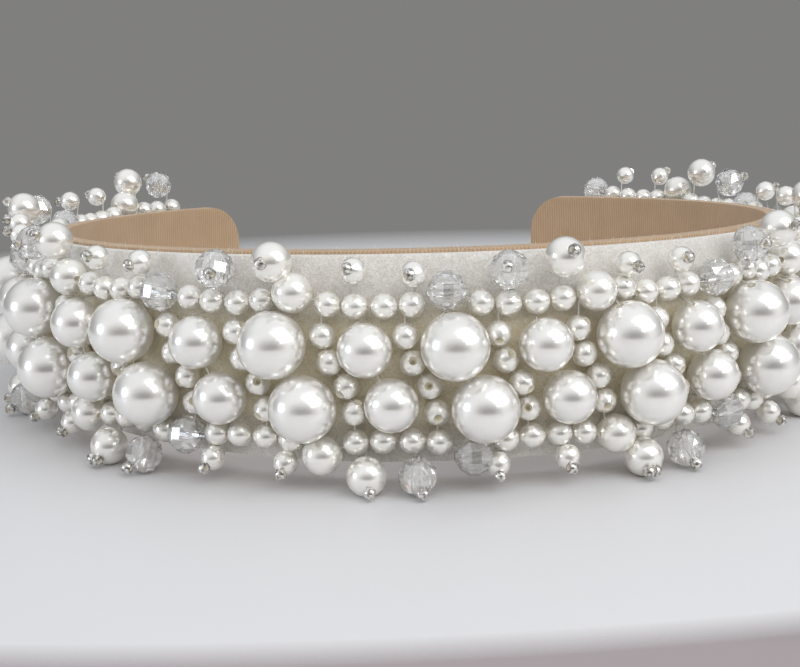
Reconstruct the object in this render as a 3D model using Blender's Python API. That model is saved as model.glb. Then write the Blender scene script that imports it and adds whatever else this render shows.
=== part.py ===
"""A pearl headband, lying on its edge.

A stiff C-shaped band is wrapped in ribbon and faced with felt. Two rows of round
pearls are sewn on in slanting pairs, large and medium by turns. Slanting strings
of small pearls run between the pairs and join an arched string above them to
one below them. Beads on short stalks stand out along both edges, and the band
lies on the lower ones.

The crown of the band is on the -Y side, its two tips are on the +Y side and Z
is up. Places on the band are given by the arc from the crown along the felt's
face, by the distance out from that face, and by the height. Sizes are in
millimetres and become metres when a mesh is made.
"""

import math

import bmesh
import bpy
import numpy as np
from mathutils import Matrix, Vector

METRE = 0.001

# Sizes of the band
HALF_BREADTH = 70.6
HALF_DEPTH = 70.2
BAND_REACH = 183.0
CROWN_WIDTH = 32.0
TIP_WIDTH = 24.0
EDGE_HEIGHT = 3.3
RIBBON_BAND_THICKNESS = 2.6
CROWNING = 0.8
TIP_ROUNDING = 8.0
BAND_CHAMFER = 0.6
STATION_PITCH = 12.0
ROUNDING_STEPS = 4

# Sizes of the felt
FELT_THICKNESS = 1.4
FELT_MARGIN = 0.35
FELT_END_MARGIN = 6.0
FELT_ROUNDING = 6.0
FELT_CHAMFER = 0.4
FELT_BACK_GAP = 0.3

# Sizes of the beads, and the room left round them
LARGE_PEARL = 10.0
MEDIUM_PEARL = 8.0
ACCENT_BEAD = 6.0
SMALL_PEARL = 4.0
THREAD = 1.0
SEAT_GAP = 0.3
BEAD_GAP = 0.2
MEDIUM_PAIR_GAP = 0.9
STRING_SLACK = 0.1
BEAD_SIDES = 10
BALL_BANDS = 4
LARGE_BALL_BANDS = 5

# The sewing pattern
PATTERN_SHIFT = -1.2
BEAD_END_MARGIN = 9.0
COLUMN_PLAY = 0.1
PAIR_LEAN = math.radians(23.5)
PAIR_HEIGHT = EDGE_HEIGHT + 0.453 * CROWN_WIDTH
STRING_RISE = 1.0
STRING_CENTRE = -2.3
STRING_SHIFT = 1.8
STRING_TAKE_UP = 0.985
CRYSTAL_STALK_RISE = 5.3
PEARL_STALK_RISE = 6.7
UPPER_STANDOFF = 0.7
LOWER_STANDOFF = 1.3
STALK_PULL = 1.5
PULL_REACH = 20.0


def side_by_side(first, second):
    """How far apart along the felt two round beads lie that both rest on it and touch."""
    reach = (first + second) / 2.0 + BEAD_GAP
    return math.sqrt(reach ** 2 - ((first - second) / 2.0) ** 2)


# What follows from those sizes
SMALL_PITCH = SMALL_PEARL + BEAD_GAP
BEADED_REACH = BAND_REACH - BEAD_END_MARGIN
COLUMN_PITCH = side_by_side(LARGE_PEARL, SMALL_PEARL) + side_by_side(SMALL_PEARL, MEDIUM_PEARL) + COLUMN_PLAY
GROUP_PITCH = (ACCENT_BEAD + 4.0 * SMALL_PEARL) * STRING_TAKE_UP
MEDIUM_RISE = (MEDIUM_PEARL + MEDIUM_PAIR_GAP) / 2.0 * math.cos(PAIR_LEAN)
GROUP_COUNT = int(BEADED_REACH / GROUP_PITCH) + 1
STRING_OFFSET = MEDIUM_RISE + side_by_side(MEDIUM_PEARL, SMALL_PEARL)
UPPER_STRING_HEIGHT = PAIR_HEIGHT + STRING_OFFSET
TUBE_RADIUS = SMALL_PEARL / 2.0 - STRING_SLACK

# An arched string's path through each group of five beads, as shares of the group's pitch
# and of the arch's rise. The accent bead is in the middle, where the arch is highest.
ARCH_CHART = (
    {"along": -0.5, "rise": 0.0, "bead": SMALL_PEARL},
    {"along": -0.22, "rise": 0.4, "bead": SMALL_PEARL},
    {"along": 0.0, "rise": 1.0, "bead": ACCENT_BEAD},
    {"along": 0.22, "rise": 0.4, "bead": SMALL_PEARL},
)

# The four pearls of a slanting string, top to bottom, as shares of a small pearl's pitch.
SLANT_CHART = (
    {"along": -0.52, "rise": 1.37},
    {"along": -0.28, "rise": 0.42},
    {"along": 0.28, "rise": -0.42},
    {"along": 0.52, "rise": -1.37},
)

# Accent beads on stalks: the share of a group's pitch after every second accent bead, and the
# height. The lower ones lie on the ground.
STALK_CHARTS = {
    "upper": (
        {"along": 0.41, "height": UPPER_STRING_HEIGHT + CRYSTAL_STALK_RISE},
        {"along": 0.81, "height": UPPER_STRING_HEIGHT + PEARL_STALK_RISE},
    ),
    "lower": (
        {"along": 1.245, "height": ACCENT_BEAD / 2.0},
        {"along": 1.6, "height": ACCENT_BEAD / 2.0},
    ),
}


def arc_table():
    """Arc lengths along the felt's outline, from the crown, for a fan of angles."""
    angles = np.linspace(-math.pi, math.pi, 1441)
    across = HALF_BREADTH * np.sin(angles)
    along = HALF_DEPTH * (1.0 - np.cos(angles))
    steps = np.hypot(np.diff(across), np.diff(along))
    arcs = np.concatenate([[0.0], np.cumsum(steps)])
    arcs -= arcs[len(arcs) // 2]
    return arcs, angles


ARCS, ANGLES = arc_table()


def outline_angle(arc):
    """The ellipse's angle at an arc length from the crown."""
    return float(np.interp(arc, ARCS, ANGLES))


TIP_ANGLE = outline_angle(BAND_REACH)
BACK_REACH = -(HALF_DEPTH - FELT_THICKNESS - FELT_BACK_GAP) * math.cos(TIP_ANGLE)
FRONT_REACH = HALF_DEPTH + SEAT_GAP + LARGE_PEARL
OUTLINE_CENTRE_Y = (FRONT_REACH - BACK_REACH) / 2.0
TIP_DEPTH = HALF_DEPTH * (1.0 - math.cos(TIP_ANGLE))


def outward(arc):
    """The horizontal direction out from the felt at an arc length."""
    angle = outline_angle(arc)
    return Vector((HALF_DEPTH * math.sin(angle), -HALF_BREADTH * math.cos(angle), 0.0)).normalized()


def place(arc, out, height):
    """A point in the part's frame from its arc, its distance out and its height."""
    angle = outline_angle(arc)
    base = Vector((
        HALF_BREADTH * math.sin(angle),
        OUTLINE_CENTRE_Y - HALF_DEPTH * math.cos(angle),
        height,
    ))
    return base + out * outward(arc)


def band_width(arc):
    """The band narrows evenly with depth, from the crown to the tips."""
    depth = HALF_DEPTH * (1.0 - math.cos(outline_angle(arc)))
    return CROWN_WIDTH + (TIP_WIDTH - CROWN_WIDTH) * depth / TIP_DEPTH


def felt_face(arc, height):
    """How far the crowned face lies behind the outline at a height, on or beyond the band."""
    share = min(max((height - EDGE_HEIGHT) / band_width(arc), 0.0), 1.0)
    return -CROWNING * (2.0 * share - 1.0) ** 2


def material(name, colour, roughness, metallic=0.0):
    """A plain material for the solids."""
    made = bpy.data.materials.new(name)
    made.use_nodes = True
    shader = made.node_tree.nodes["Principled BSDF"]
    shader.inputs["Base Color"].default_value = (*colour, 1.0)
    shader.inputs["Roughness"].default_value = roughness
    shader.inputs["Metallic"].default_value = metallic
    return made


def mesh_from_rings(name, rings):
    """A closed body skinned over equal rings of points, with flat caps."""
    model = bmesh.new()
    loops = [[model.verts.new(point * METRE) for point in ring] for ring in rings]
    count = len(loops[0])
    for first, second in zip(loops, loops[1:]):
        for index in range(count):
            after = (index + 1) % count
            model.faces.new((first[index], first[after], second[after], second[index]))
    model.faces.new(list(reversed(loops[0])))
    model.faces.new(loops[-1])
    bmesh.ops.recalc_face_normals(model, faces=model.faces)
    mesh = bpy.data.meshes.new(name)
    model.to_mesh(mesh)
    model.free()
    return mesh


def turned(name, profile, sides=BEAD_SIDES):
    """A closed body turned about +Z from (height, radius) pairs, pointed at both ends."""
    model = bmesh.new()
    bottom = model.verts.new((0.0, 0.0, profile[0][0] * METRE))
    top = model.verts.new((0.0, 0.0, profile[-1][0] * METRE))
    loops = []
    for height, radius in profile[1:-1]:
        loop = []
        for index in range(sides):
            angle = 2.0 * math.pi * index / sides
            point = Vector((radius * math.cos(angle), radius * math.sin(angle), height))
            loop.append(model.verts.new(point * METRE))
        loops.append(loop)
    for index in range(sides):
        after = (index + 1) % sides
        model.faces.new((bottom, loops[0][after], loops[0][index]))
        model.faces.new((top, loops[-1][index], loops[-1][after]))
        for first, second in zip(loops, loops[1:]):
            model.faces.new((first[index], first[after], second[after], second[index]))
    bmesh.ops.recalc_face_normals(model, faces=model.faces)
    mesh = bpy.data.meshes.new(name)
    model.to_mesh(mesh)
    model.free()
    return mesh


def ball_profile(centre, radius, bands):
    """Heights and radii of a ball on a turned body, pole to pole."""
    turns = [math.pi * band / bands for band in range(bands + 1)]
    return [(centre - radius * math.cos(turn), radius * math.sin(turn)) for turn in turns]


def add_object(name, mesh, finish, smooth=True):
    """An object of its own for a mesh."""
    if not mesh.materials:
        mesh.materials.append(finish)
    mesh.polygons.foreach_set("use_smooth", [smooth] * len(mesh.polygons))
    made = bpy.data.objects.new(name, mesh)
    bpy.context.scene.collection.objects.link(made)
    return made


def along_axis(start, end):
    """The turn that lays +Z along the line from start to end."""
    return Vector((0.0, 0.0, 1.0)).rotation_difference(end - start)


def band_section(arc, face, thickness, low, high, chamfer):
    """A crowned strip's outline at one arc: out and in, and low and high."""
    middle = (low + high) / 2.0
    points = [(face + felt_face(arc, height), height) for height in (low + chamfer, middle, high - chamfer)]
    edge_high = face + felt_face(arc, high - chamfer)
    edge_low = face + felt_face(arc, low + chamfer)
    points += [(edge_high - chamfer, high), (edge_high - thickness + chamfer, high)]
    for height in (high - chamfer, middle, low + chamfer):
        points.append((face - thickness + felt_face(arc, height), height))
    points += [(edge_low - thickness + chamfer, low), (edge_low - chamfer, low)]
    return [place(arc, out, height) for out, height in points]


def strip_arcs(reach, rounding):
    """Arcs of a strip's sections, at the same places for every strip but for its rounded ends."""
    turns = [math.pi / 2.0 * step / ROUNDING_STEPS for step in range(ROUNDING_STEPS)]
    end = [reach - rounding * (1.0 - math.cos(turn)) for turn in turns]
    end.append(reach - rounding)
    count = int((reach - rounding - STATION_PITCH / 4.0) / STATION_PITCH)
    inner = [step * STATION_PITCH for step in range(-count, count + 1)]
    return [-arc for arc in end] + inner + list(reversed(end))


def end_inset(arc, reach, rounding):
    """How much a rounded end has narrowed from each edge at an arc."""
    into = abs(arc) - (reach - rounding)
    if into <= 0.0:
        return 0.0
    return rounding - math.sqrt(max(rounding ** 2 - into ** 2, 0.0))


def build_ribbon_band(finish):
    """The stiff band inside its ribbon, with rounded tips and flat edges."""
    face = -FELT_THICKNESS - FELT_BACK_GAP
    rings = []
    for arc in strip_arcs(BAND_REACH, TIP_ROUNDING):
        inset = end_inset(arc, BAND_REACH, TIP_ROUNDING)
        low = EDGE_HEIGHT + inset
        high = EDGE_HEIGHT + band_width(arc) - inset
        rings.append(band_section(arc, face, RIBBON_BAND_THICKNESS, low, high, BAND_CHAMFER))
    add_object("ribbon_band", mesh_from_rings("ribbon_band", rings), finish, smooth=False)


def build_felt_facing(finish):
    """The felt strip on the band's outer face, set in from the ribbon's edges."""
    reach = BAND_REACH - FELT_END_MARGIN
    rings = []
    for arc in strip_arcs(reach, FELT_ROUNDING):
        inset = end_inset(arc, reach, FELT_ROUNDING) + FELT_MARGIN
        low = EDGE_HEIGHT + inset
        high = EDGE_HEIGHT + band_width(arc) - inset
        rings.append(band_section(arc, 0.0, FELT_THICKNESS, low, high, FELT_CHAMFER))
    add_object("felt_facing", mesh_from_rings("felt_facing", rings), finish, smooth=False)


def columns():
    """The leaning pairs: middle arc, diameter and gap, large and medium by turns."""
    count = int((BEADED_REACH - MEDIUM_PEARL / 2.0 + PATTERN_SHIFT) / COLUMN_PITCH)
    made = []
    for index in range(-count, count + 1):
        arc = PATTERN_SHIFT + index * COLUMN_PITCH
        if index % 2:
            made.append((arc, MEDIUM_PEARL, MEDIUM_PAIR_GAP))
        else:
            made.append((arc, LARGE_PEARL, BEAD_GAP))
    return made


def pair_places(arc, size, gap):
    """The centres of a pair, upper and lower, as arc, out and height."""
    half = (size + gap) / 2.0
    places = []
    for side in (1, -1):
        height = PAIR_HEIGHT + side * half * math.cos(PAIR_LEAN)
        out = felt_face(arc, height) + SEAT_GAP + size / 2.0
        places.append((arc - side * half * math.sin(PAIR_LEAN), out, height))
    return places


def build_large_pearls(finish):
    """Each large pearl is a piece of its own."""
    mesh = turned("large_pearl", ball_profile(0.0, LARGE_PEARL / 2.0, LARGE_BALL_BANDS))
    large = [column for column in columns() if column[1] == LARGE_PEARL]
    for number, column in enumerate(large, start=1):
        upper, lower = (place(*spot) for spot in pair_places(*column))
        for row, centre in (("upper", upper), ("lower", lower)):
            pearl = add_object(f"large_pearl_{row}_{number:02d}", mesh, finish)
            pearl.location = centre * METRE
            pearl.rotation_mode = "QUATERNION"
            pearl.rotation_quaternion = along_axis(lower, upper)


def build_medium_pairs(finish):
    """Each medium pair is two pearls held by the thread that runs through both."""
    radius = MEDIUM_PEARL / 2.0
    half = (MEDIUM_PEARL + MEDIUM_PAIR_GAP) / 2.0
    profile = ball_profile(-half, radius, BALL_BANDS)[:-1]
    profile.append((0.0, THREAD / 2.0))
    profile += ball_profile(half, radius, BALL_BANDS)[1:]
    mesh = turned("medium_pair", profile)
    medium = [column for column in columns() if column[1] == MEDIUM_PEARL]
    for number, column in enumerate(medium, start=1):
        upper, lower = (place(*spot) for spot in pair_places(*column))
        pair = add_object(f"medium_pearl_pair_{number:02d}", mesh, finish)
        pair.location = (upper + lower) / 2.0 * METRE
        pair.rotation_mode = "QUATERNION"
        pair.rotation_quaternion = along_axis(lower, upper)


def main_pearls():
    """Every pearl of the two rows, as its place and its radius."""
    return [(spot, column[1] / 2.0) for column in columns() for spot in pair_places(*column)]


MAIN_PEARLS = main_pearls()


def clear_height(arc, out, height, radius, side):
    """The height of a strung bead, pushed off the pearls of the rows where it meets them."""
    centre = place(arc, out, height)
    best = height
    for spot, other in MAIN_PEARLS:
        reach = other + radius + BEAD_GAP
        if abs(spot[0] - arc) > reach:
            continue
        pearl = place(*spot)
        room = reach ** 2 - (pearl.x - centre.x) ** 2 - (pearl.y - centre.y) ** 2
        if room > 0.0:
            pushed = spot[2] + side * math.sqrt(room)
            best = max(best, pushed) if side > 0 else min(best, pushed)
    return best


def accent_arc(side, index):
    """The arc of an accent bead in the upper (1) or the lower (-1) string."""
    return STRING_CENTRE - side * STRING_SHIFT + index * GROUP_PITCH


def group_arcs(side, half):
    """The accent beads' arcs in the left or the right half of a string."""
    indices = range(-GROUP_COUNT, 1) if half == "left" else range(1, GROUP_COUNT + 1)
    return [accent_arc(side, index) for index in indices]


def string_route(side, half):
    """The path of one half of an arched string, as arc, out and height."""
    groups = group_arcs(side, half)
    stops = [(middle, stop) for middle in groups for stop in ARCH_CHART]
    stops.append((groups[-1] + GROUP_PITCH, ARCH_CHART[0]))
    route = []
    for middle, stop in stops:
        radius = stop["bead"] / 2.0
        arc = middle + stop["along"] * GROUP_PITCH
        if abs(arc) + radius > BEADED_REACH:
            continue
        height = PAIR_HEIGHT + side * (STRING_OFFSET + STRING_RISE * stop["rise"])
        out = felt_face(arc, height) + SEAT_GAP + radius
        for near in (arc - SMALL_PEARL / 2.0, arc, arc + SMALL_PEARL / 2.0):
            height = clear_height(near, out, height, SMALL_PEARL / 2.0, side)
        route.append((arc, out, height))
    return route


def on_string(side, half, arc):
    """The string's middle at an arc, or at the end that is nearest to it."""
    beads = string_route(side, half)
    arcs = [bead[0] for bead in beads]
    arc = min(max(arc, arcs[0]), arcs[-1])
    out = float(np.interp(arc, arcs, [bead[1] for bead in beads]))
    height = float(np.interp(arc, arcs, [bead[2] for bead in beads]))
    return place(arc, out, height)


def tubes(name, routes, radius, roundness=2):
    """Round tubes with closed ends, each along its own route of points and thicknesses."""
    curve = bpy.data.curves.new(name, "CURVE")
    curve.dimensions = "3D"
    curve.bevel_depth = radius * METRE
    curve.bevel_resolution = roundness
    curve.use_fill_caps = True
    for route in routes:
        spline = curve.splines.new("POLY")
        spline.points.add(len(route) - 1)
        for point, (centre, share) in zip(spline.points, route):
            point.co = (*(centre * METRE), 1.0)
            point.radius = share
    carrier = bpy.data.objects.new(name, curve)
    bpy.context.scene.collection.objects.link(carrier)
    mesh = bpy.data.meshes.new_from_object(carrier.evaluated_get(bpy.context.evaluated_depsgraph_get()))
    bpy.data.objects.remove(carrier)
    return mesh


def string_mesh(side, half):
    """One half of an arched string, as a tube of the small pearls' size. The halves meet
    level, face to face."""
    spots = string_route(side, half)
    joint = SEAT_GAP / 2.0
    if half == "left":
        arc, out, height = spots.pop()
        spots += [(arc - joint - TUBE_RADIUS, out, height), (arc - joint, out, height)]
    else:
        arc, out, height = spots.pop(0)
        spots = [(arc + joint, out, height), (arc + joint + TUBE_RADIUS, out, height)] + spots
    route = [(place(*spot), 1.0) for spot in spots]
    return tubes(f"string_{half}", [route], TUBE_RADIUS)


def slant_arcs(half):
    """The arcs of the slanting strings, each touching its neighbouring pairs."""
    split = accent_arc(1, 0) + GROUP_PITCH / 2.0
    first, last = columns()[0], columns()[-1]
    if half == "left":
        found = [first[0] - side_by_side(first[1], SMALL_PEARL)]
    else:
        found = [last[0] + side_by_side(last[1], SMALL_PEARL)]
    for before, after in zip(columns(), columns()[1:]):
        room = side_by_side(before[1], SMALL_PEARL) + side_by_side(SMALL_PEARL, after[1])
        share = side_by_side(before[1], SMALL_PEARL) / room
        arc = before[0] + share * (after[0] - before[0])
        if (arc < split) == (half == "left"):
            found.append(arc)
    return found


def slant_route(arc, half):
    """A slanting string through its pearls, its thread tied to the strings above and below."""
    beads = []
    for bead in SLANT_CHART:
        spot = arc + bead["along"] * SMALL_PITCH
        height = PAIR_HEIGHT + bead["rise"] * SMALL_PITCH
        beads.append(place(spot, felt_face(spot, height) + SEAT_GAP + SMALL_PEARL / 2.0, height))
    thread_share = THREAD / 2.0 / TUBE_RADIUS
    above = on_string(1, half, arc + SLANT_CHART[0]["along"] * SMALL_PITCH)
    below = on_string(-1, half, arc + SLANT_CHART[-1]["along"] * SMALL_PITCH)
    return [(above, thread_share)] + [(bead, 1.0) for bead in beads] + [(below, thread_share)]


def pulled(arc):
    """The arc of a stalk, which is drawn a little towards the crown."""
    return arc - STALK_PULL * min(max(arc / PULL_REACH, -1.0), 1.0)


def stalk_places(label, half):
    """The accent beads on stalks, as arc, out and height."""
    side = 1 if label == "upper" else -1
    out = ACCENT_BEAD / 2.0 + (UPPER_STANDOFF if side > 0 else LOWER_STANDOFF)
    arcs = [bead[0] for bead in string_route(side, half)]
    found = []
    for index in range(-GROUP_COUNT, GROUP_COUNT + 1):
        for bead in STALK_CHARTS[label]:
            arc = pulled(accent_arc(side, index) + bead["along"] * GROUP_PITCH)
            if index % 2 == 0 and arcs[0] <= arc <= arcs[-1]:
                found.append((arc, out, bead["height"]))
    return found


def joined(name, meshes):
    """Several separate bodies in one mesh."""
    model = bmesh.new()
    for mesh in meshes:
        model.from_mesh(mesh)
    made = bpy.data.meshes.new(name)
    model.to_mesh(made)
    model.free()
    return made


def ball_at(centre, radius):
    """A bead's ball, its poles above and below."""
    mesh = turned("bead", ball_profile(0.0, radius, BALL_BANDS))
    mesh.transform(Matrix.Translation(centre * METRE))
    return mesh


def fuse(target, name, mesh, finish):
    """Unites separate bodies with an object through one Boolean modifier."""
    helper = add_object(name, mesh, finish)
    helper.hide_render = True
    helper.display_type = "WIRE"
    union = target.modifiers.new(name, "BOOLEAN")
    union.operation = "UNION"
    union.solver = "EXACT"
    union.object = helper


def build_bead_net(half, finish):
    """The small pearls and accent beads of one half, held together by their thread."""
    net = add_object(f"small_bead_net_{half}", string_mesh(1, half), finish)
    fuse(net, f"lower_string_{half}", string_mesh(-1, half), finish)
    slants = [slant_route(arc, half) for arc in slant_arcs(half)]
    fuse(net, f"slants_{half}", tubes("slants", slants, TUBE_RADIUS), finish)
    for label, side in (("upper", 1), ("lower", -1)):
        spots = stalk_places(label, half)
        balls = [ball_at(place(*spot), ACCENT_BEAD / 2.0) for spot in spots]
        threads = [[(on_string(side, half, spot[0]), 1.0), (place(*spot), 1.0)] for spot in spots]
        fuse(net, f"{label}_stalk_threads_{half}", tubes("threads", threads, THREAD / 2.0, 1), finish)
        fuse(net, f"{label}_stalk_beads_{half}", joined("beads", balls), finish)


def clear_scene():
    """Removes whatever the opened file holds."""
    for item in list(bpy.data.objects):
        bpy.data.objects.remove(item, do_unlink=True)


def main():
    clear_scene()
    ribbon = material("peach_ribbon", (0.62, 0.44, 0.31), 0.62)
    felt = material("cream_felt", (0.80, 0.77, 0.70), 0.95)
    pearl = material("ivory_pearl", (0.90, 0.88, 0.84), 0.18)
    build_ribbon_band(ribbon)
    build_felt_facing(felt)
    build_large_pearls(pearl)
    build_medium_pairs(pearl)
    build_bead_net("left", pearl)
    build_bead_net("right", pearl)


main()
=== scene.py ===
"""The looks of the pearl headband.

Every bead is drilled and sits on its thread, the felt has a nap and the band is wrapped
in ribbed ribbon. Pieces are modelled in millimetres, and become metres when they are
added. A place on the band is given by the arc from the crown along the felt's face, by
the distance out from that face, and by the height.
"""

import math
import random

import bmesh
import bpy
import numpy as np
from mathutils import Matrix, Vector, noise


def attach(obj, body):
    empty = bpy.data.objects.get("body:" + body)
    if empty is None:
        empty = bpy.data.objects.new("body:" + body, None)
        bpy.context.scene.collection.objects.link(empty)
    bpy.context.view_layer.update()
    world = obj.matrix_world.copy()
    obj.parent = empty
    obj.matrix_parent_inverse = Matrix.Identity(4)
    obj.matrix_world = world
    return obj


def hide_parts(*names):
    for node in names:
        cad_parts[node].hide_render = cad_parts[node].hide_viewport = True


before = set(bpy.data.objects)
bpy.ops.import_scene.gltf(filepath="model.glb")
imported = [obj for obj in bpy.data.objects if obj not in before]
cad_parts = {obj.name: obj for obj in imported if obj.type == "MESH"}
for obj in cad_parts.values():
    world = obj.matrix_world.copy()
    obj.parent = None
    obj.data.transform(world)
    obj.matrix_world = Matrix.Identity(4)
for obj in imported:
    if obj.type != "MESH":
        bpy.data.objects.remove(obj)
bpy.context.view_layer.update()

METRE = 0.001
UP = Vector((0.0, 0.0, 1.0))
chance = random.Random(4)

# The band and its felt
HALF_BREADTH = 70.6
HALF_DEPTH = 70.2
BAND_REACH = 183.0
CROWN_WIDTH = 32.0
TIP_WIDTH = 24.0
EDGE_HEIGHT = 3.3
RIBBON_BAND_THICKNESS = 2.6
CROWNING = 0.8
TIP_ROUNDING = 8.0
BAND_CHAMFER = 0.6
FELT_THICKNESS = 1.4
FELT_MARGIN = 0.35
FELT_END_MARGIN = 6.0
FELT_ROUNDING = 6.0
FELT_CHAMFER = 0.3
FELT_BACK_GAP = 0.3
STRIP_PITCH = 1.0
STRIP_ROWS = 28
END_STATIONS = 10
RIM_FOLD = math.radians(60.0)
NAP_RISE = 0.09
NAP_GRAIN = 0.9
NAP_LAYER = 3.0

# The beads
LARGE_PEARL = 10.0
MEDIUM_PEARL = 8.0
ACCENT_BEAD = 6.0
SMALL_PEARL = 4.0
SEED_BEAD = 1.9
SEED_LENGTH = 1.25
SEED_HOLE = 0.8
SEED_SHOULDER = 0.8
SEED_FLAT = 0.45
SEED_SIDES = 10
SEED_STANDOFF = 0.45
TWO_SEEDS = 0.5
THREAD = 0.26
SEAT_GAP = 0.3
BEAD_GAP = 0.2
MEDIUM_PAIR_GAP = 0.9
HOLE_WAIST = 0.2
SHARP_FOLD = math.radians(55.0)
MERGE_REACH = 0.0001

# Drilled pearls: diameter, width of the hole's rim, sides and bands
DRILLED_PEARLS = {
    "large": (LARGE_PEARL, 1.4, 48, 26),
    "medium": (MEDIUM_PEARL, 1.2, 44, 24),
    "accent": (ACCENT_BEAD, 1.1, 28, 14),
    "small": (SMALL_PEARL, 0.9, 12, 5),
    "wide_holed": (SMALL_PEARL, 1.4, 12, 5),
}

# The sewing pattern
PATTERN_SHIFT = -1.2
BEAD_END_MARGIN = 9.0
COLUMN_PLAY = 0.1
PAIR_LEAN = math.radians(23.5)
PAIR_HEIGHT = EDGE_HEIGHT + 0.453 * CROWN_WIDTH
STRING_RISE = 1.0
STRING_CENTRE = -2.3
STRING_SHIFT = 1.8
STRING_TAKE_UP = 0.985
UPPER_STALK_RISE = {"crystal": 5.3, "pearl": 6.7}
STALK_STANDOFF = {"upper": 0.7, "lower": 1.3}
STALK_PULL = 1.5
PULL_REACH = 20.0
STALK_CLEARANCE = 3.45
STRING_OVERHANG = 0.096
STRING_SWAY = 0.3
SEWN_OUT = 0.2
SEWN_MARGIN = 2.5


def side_by_side(first, second):
    """How far apart two round beads lie along the felt when they touch."""
    reach = (first + second) / 2.0 + BEAD_GAP
    return math.sqrt(reach ** 2 - ((first - second) / 2.0) ** 2)


SMALL_PITCH = SMALL_PEARL + BEAD_GAP
BEADED_REACH = BAND_REACH - BEAD_END_MARGIN
COLUMN_PITCH = (
    side_by_side(LARGE_PEARL, SMALL_PEARL) + side_by_side(SMALL_PEARL, MEDIUM_PEARL) + COLUMN_PLAY
)
GROUP_PITCH = (ACCENT_BEAD + 4.0 * SMALL_PEARL) * STRING_TAKE_UP
MEDIUM_RISE = (MEDIUM_PEARL + MEDIUM_PAIR_GAP) / 2.0 * math.cos(PAIR_LEAN)
GROUP_COUNT = int(BEADED_REACH / GROUP_PITCH) + 1
STRING_OFFSET = MEDIUM_RISE + side_by_side(MEDIUM_PEARL, SMALL_PEARL)

# The beads of one group on an arched string, as shares of the group's pitch and of the arch's rise
GROUP_BEADS = (
    (-0.404, 0.16),
    (-0.224, 0.40),
    (0.0, 1.0),
    (0.224, 0.40),
    (0.404, 0.16),
)

# A slanting string's pearls, as shares of a small pearl's pitch
SLANT_BEADS = (
    (-0.52, 1.37),
    (-0.28, 0.42),
    (0.28, -0.42),
    (0.52, -1.37),
)

# How far their holes turn outward, the spread of that, and how far they swing to the side
HOLE_TURNS = (0.3, 1.1, 2.0, 3.2)
HOLE_PLAY = (0.8, 1.2)
HOLE_SWING = 1.4

# What stands on stalks after every second accent bead: share of the group's pitch, and the bead
STALKS = {
    "upper": ((0.41, "crystal"), (0.81, "pearl"), (1.32, "small"), (1.76, "small")),
    "lower": ((0.16, "small"), (0.68, "small"), (1.245, "pearl"), (1.6, "crystal")),
}
SMALL_STALK_HEIGHT = {"upper": 32.8, "lower": 4.2}
SMALL_STALK_OUT = 3.0
SMALL_STALK_PLAY = 0.5
STALK_DIP = {"upper": (-0.5, 0.05), "lower": (0.45, 0.6)}
STALK_SWING = 0.35
CUT_TILT = (-0.5, 0.1)
SEED_SWING = 0.6
SEED_TILT = 0.5
BORE_START = 0.96
BORE_END = 0.9

OUTLINE_POINTS = 1441


def arc_table():
    """Arc lengths along the felt's outline, from the crown, for a fan of angles."""
    angles = np.linspace(-math.pi, math.pi, OUTLINE_POINTS)
    steps = np.hypot(
        np.diff(HALF_BREADTH * np.sin(angles)),
        np.diff(HALF_DEPTH * np.cos(angles)),
    )
    arcs = np.concatenate([[0.0], np.cumsum(steps)])
    return arcs - arcs[len(arcs) // 2], angles


ARCS, ANGLES = arc_table()


def outline_angle(arc):
    return float(np.interp(arc, ARCS, ANGLES))


TIP_ANGLE = outline_angle(BAND_REACH)
BACK_REACH = -(HALF_DEPTH - FELT_THICKNESS - FELT_BACK_GAP) * math.cos(TIP_ANGLE)
FRONT_REACH = HALF_DEPTH + SEAT_GAP + LARGE_PEARL
OUTLINE_CENTRE_Y = (FRONT_REACH - BACK_REACH) / 2.0
TIP_DEPTH = HALF_DEPTH * (1.0 - math.cos(TIP_ANGLE))


def outward(arc):
    """The horizontal direction out from the felt at an arc."""
    angle = outline_angle(arc)
    return Vector((HALF_DEPTH * math.sin(angle), -HALF_BREADTH * math.cos(angle), 0.0)).normalized()


def place(arc, out, height):
    """A point on or off the band."""
    angle = outline_angle(arc)
    base = Vector((
        HALF_BREADTH * math.sin(angle),
        OUTLINE_CENTRE_Y - HALF_DEPTH * math.cos(angle),
        height,
    ))
    return base + out * outward(arc)


def band_width(arc):
    depth = HALF_DEPTH * (1.0 - math.cos(outline_angle(arc)))
    return CROWN_WIDTH + (TIP_WIDTH - CROWN_WIDTH) * depth / TIP_DEPTH


def felt_face(arc, height):
    """How far the crowned face lies behind the outline at a height, on or beyond the band."""
    share = min(max((height - EDGE_HEIGHT) / band_width(arc), 0.0), 1.0)
    return -CROWNING * (2.0 * share - 1.0) ** 2


def columns():
    """The leaning pairs: middle arc, diameter and gap, large and medium by turns."""
    count = int((BEADED_REACH - MEDIUM_PEARL / 2.0 + PATTERN_SHIFT) / COLUMN_PITCH)
    made = []
    for index in range(-count, count + 1):
        size, gap = (MEDIUM_PEARL, MEDIUM_PAIR_GAP) if index % 2 else (LARGE_PEARL, BEAD_GAP)
        made.append((PATTERN_SHIFT + index * COLUMN_PITCH, size, gap))
    return made


def pair_places(arc, size, gap):
    """The centres of a pair, upper and lower, as arc, out and height."""
    half = (size + gap) / 2.0
    places = []
    for side in (1, -1):
        height = PAIR_HEIGHT + side * half * math.cos(PAIR_LEAN)
        out = felt_face(arc, height) + SEAT_GAP + size / 2.0
        places.append((arc - side * half * math.sin(PAIR_LEAN), out, height))
    return places


MAIN_PEARLS = [(spot, column[1] / 2.0) for column in columns() for spot in pair_places(*column)]


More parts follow.
